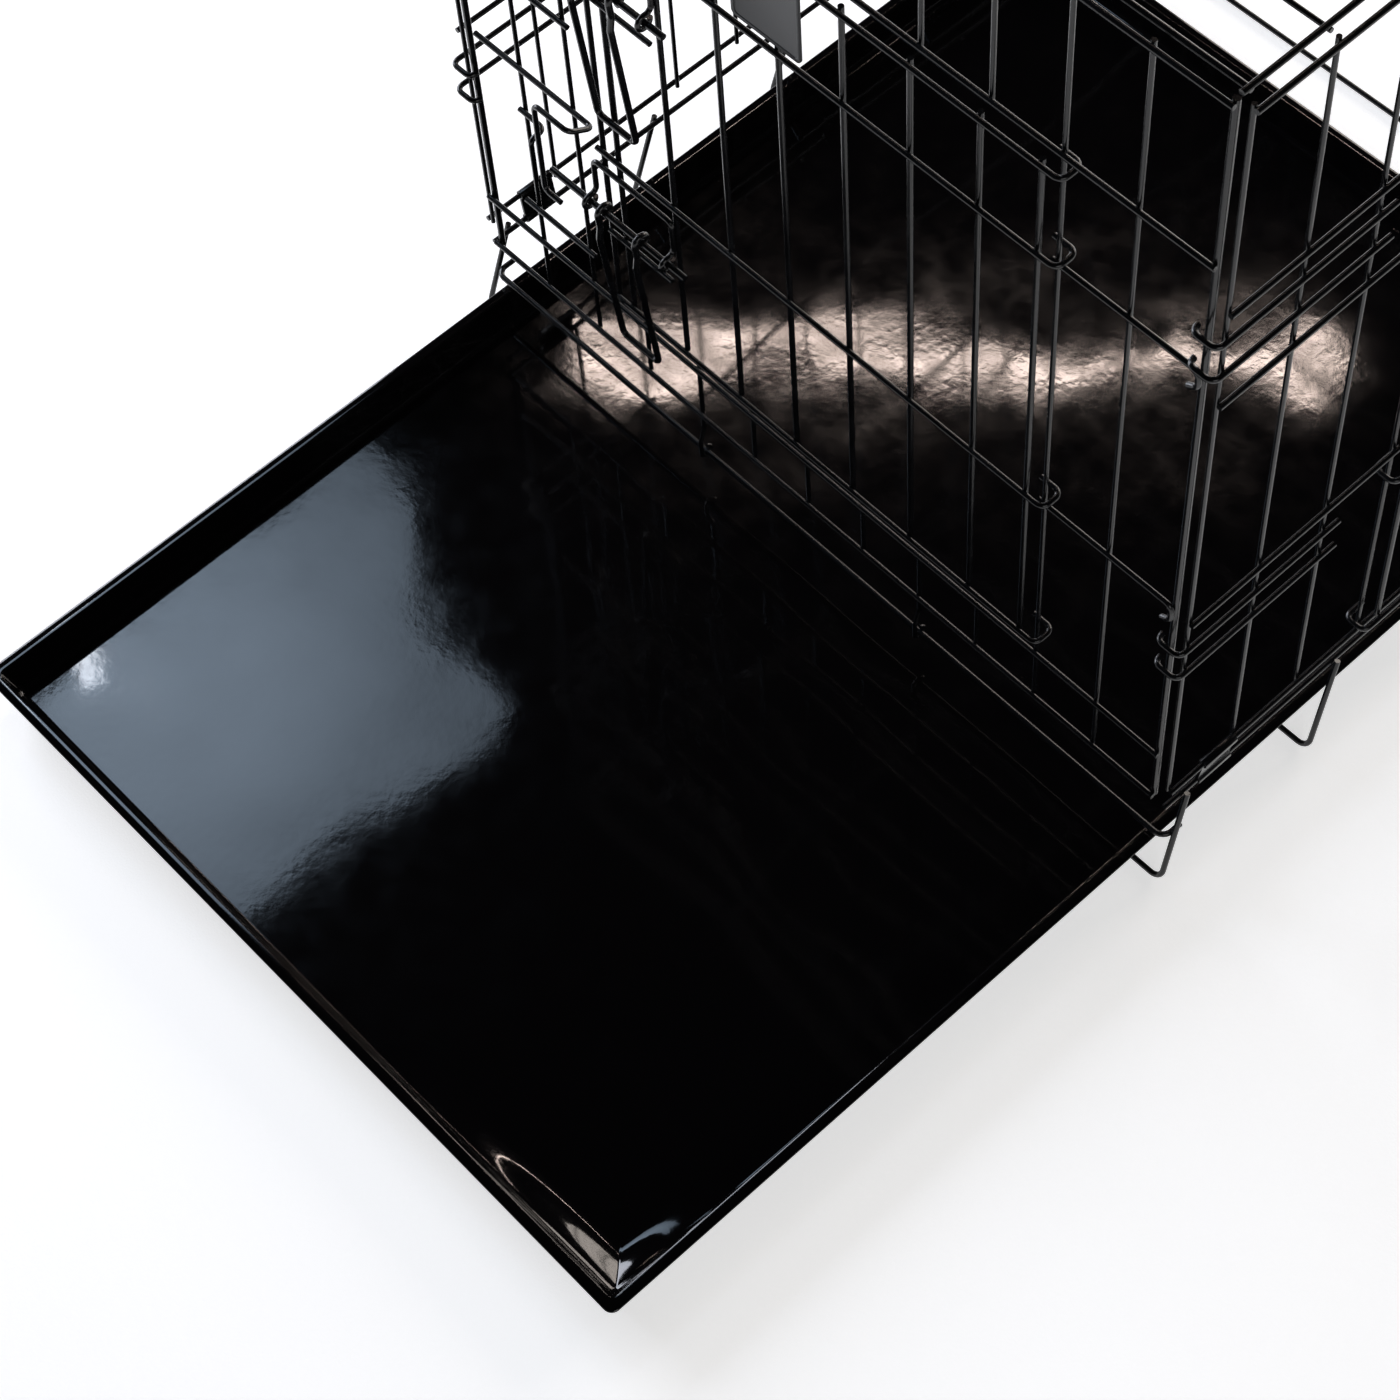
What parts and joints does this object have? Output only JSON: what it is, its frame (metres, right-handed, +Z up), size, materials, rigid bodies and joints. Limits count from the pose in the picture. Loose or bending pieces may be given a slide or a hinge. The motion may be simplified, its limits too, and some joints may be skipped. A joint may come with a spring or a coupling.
{
  "type": "pet crate",
  "caption": "Folding wire pet crate with a front door, a side door, slide-bolt latches and a slide-out floor tray",
  "frame": {"origin": "on the ground, at the middle of the crate's footprint (front panel plane to back panel plane, side plane to side plane)", "axes": "+Z up, the front panel with its door and the drawn tray face -Y, the side door is on +X"},
  "size_m": [0.5204, 1.1264, 0.5651],
  "materials": {
    "black_wire": "satin black electro-coated steel wire",
    "zinc_sleeve": "crimped sheet steel, black coated with the panels",
    "dark_plate": "dark grey pressed sheet, bare",
    "black_abs": "glossy moulded black plastic"
  },
  "bodies": {
    "crate_frame": {"floor_back_rail": "black_wire", "floor_feet": "black_wire", "floor_front_rail": "black_wire", "floor_side_rails": "black_wire", "left_side_back_hooks": "black_wire", "left_side_crossbars": "black_wire", "left_side_floor_sleeves": "zinc_sleeve", "left_side_front_hooks": "black_wire", "left_side_roof_sleeves": "zinc_sleeve", "left_side_uprights": "black_wire", "right_side_back_hooks": "black_wire", "right_side_crossbars": "black_wire", "right_side_floor_sleeves": "zinc_sleeve", "right_side_front_hooks": "black_wire", "right_side_keepers": "black_wire", "right_side_roof_sleeves": "zinc_sleeve", "right_side_uprights": "black_wire", "roof_cross_wires": "black_wire", "roof_edge_wires": "black_wire", "roof_end_wires": "black_wire", "roof_runners": "black_wire"},
    "front_panel": {"front_crossbars": "black_wire", "front_hinge_eyes": "black_wire", "front_keepers": "black_wire", "front_posts": "black_wire", "front_stile_bars": "black_wire", "front_uprights": "black_wire"},
    "back_panel": {"back_crossbars": "black_wire", "back_hinge_eyes": "black_wire", "back_posts": "black_wire", "back_uprights": "black_wire"},
    "front_door": {"front_door_hooked_bars": "black_wire", "front_door_latch_brackets": "black_wire", "front_door_latch_guides": "black_wire", "front_door_uprights": "black_wire", "nameplate": "dark_plate"},
    "side_door": {"side_door_hooked_bars": "black_wire", "side_door_latch_brackets": "black_wire", "side_door_latch_guides": "black_wire", "side_door_uprights": "black_wire"},
    "front_lower_bolt": {"front_door_lower_bolt": "black_wire"},
    "front_lower_bail": {"front_door_lower_bail": "black_wire"},
    "front_upper_bolt": {"front_door_upper_bolt": "black_wire"},
    "front_upper_bail": {"front_door_upper_bail": "black_wire"},
    "side_lower_bolt": {"side_door_lower_bolt": "black_wire"},
    "side_lower_bail": {"side_door_lower_bail": "black_wire"},
    "side_upper_bolt": {"side_door_upper_bolt": "black_wire"},
    "side_upper_bail": {"side_door_upper_bail": "black_wire"},
    "tray": {"tray": "black_abs"}
  },
  "joints": [
    {"name": "tray_slide", "type": "slide", "parent": "crate_frame", "child": "tray", "axis": [0, -1, 0], "range_m": [-0.357, 0.33]},
    {"name": "front_panel_fold", "type": "hinge", "parent": "crate_frame", "child": "front_panel", "pos_m": [0, -0.381, 0.03], "axis": [1, 0, 0], "range_deg": [-88, 0]},
    {"name": "back_panel_fold", "type": "hinge", "parent": "crate_frame", "child": "back_panel", "pos_m": [0, 0.381, 0.03], "axis": [1, 0, 0], "range_deg": [0, 88]},
    {"name": "front_door_swing", "type": "hinge", "parent": "front_panel", "child": "front_door", "pos_m": [0.1592, -0.3844, 0.236], "axis": [0, 0, 1], "range_deg": [0, 130]},
    {"name": "side_door_swing", "type": "hinge", "parent": "crate_frame", "child": "side_door", "pos_m": [0.2494, -0.24556, 0.207], "axis": [0, 0, 1], "range_deg": [-130, 0]},
    {"name": "front_lower_bolt_slide", "type": "slide", "parent": "front_door", "child": "front_lower_bolt", "axis": [-1, 0, 0], "range_m": [-0.015, 0.006]},
    {"name": "front_lower_bail_lift", "type": "hinge", "parent": "front_lower_bolt", "child": "front_lower_bail", "pos_m": [-0.1125, -0.39482, 0.197], "axis": [-1, 0, 0], "range_deg": [0, 150]},
    {"name": "front_upper_bolt_slide", "type": "slide", "parent": "front_door", "child": "front_upper_bolt", "axis": [-1, 0, 0], "range_m": [-0.015, 0.006]},
    {"name": "front_upper_bail_lift", "type": "hinge", "parent": "front_upper_bolt", "child": "front_upper_bail", "pos_m": [-0.1125, -0.39482, 0.366], "axis": [-1, 0, 0], "range_deg": [0, 150]},
    {"name": "side_lower_bolt_slide", "type": "slide", "parent": "side_door", "child": "side_lower_bolt", "axis": [0, 1, 0], "range_m": [-0.015, 0.006]},
    {"name": "side_lower_bail_lift", "type": "hinge", "parent": "side_lower_bolt", "child": "side_lower_bail", "pos_m": [0.25982, 0.06492, 0.168], "axis": [0, -1, 0], "range_deg": [0, 150]},
    {"name": "side_upper_bolt_slide", "type": "slide", "parent": "side_door", "child": "side_upper_bolt", "axis": [0, 1, 0], "range_m": [-0.015, 0.006]},
    {"name": "side_upper_bail_lift", "type": "hinge", "parent": "side_upper_bolt", "child": "side_upper_bail", "pos_m": [0.25982, 0.06492, 0.337], "axis": [0, -1, 0], "range_deg": [0, 150]}
  ]
}
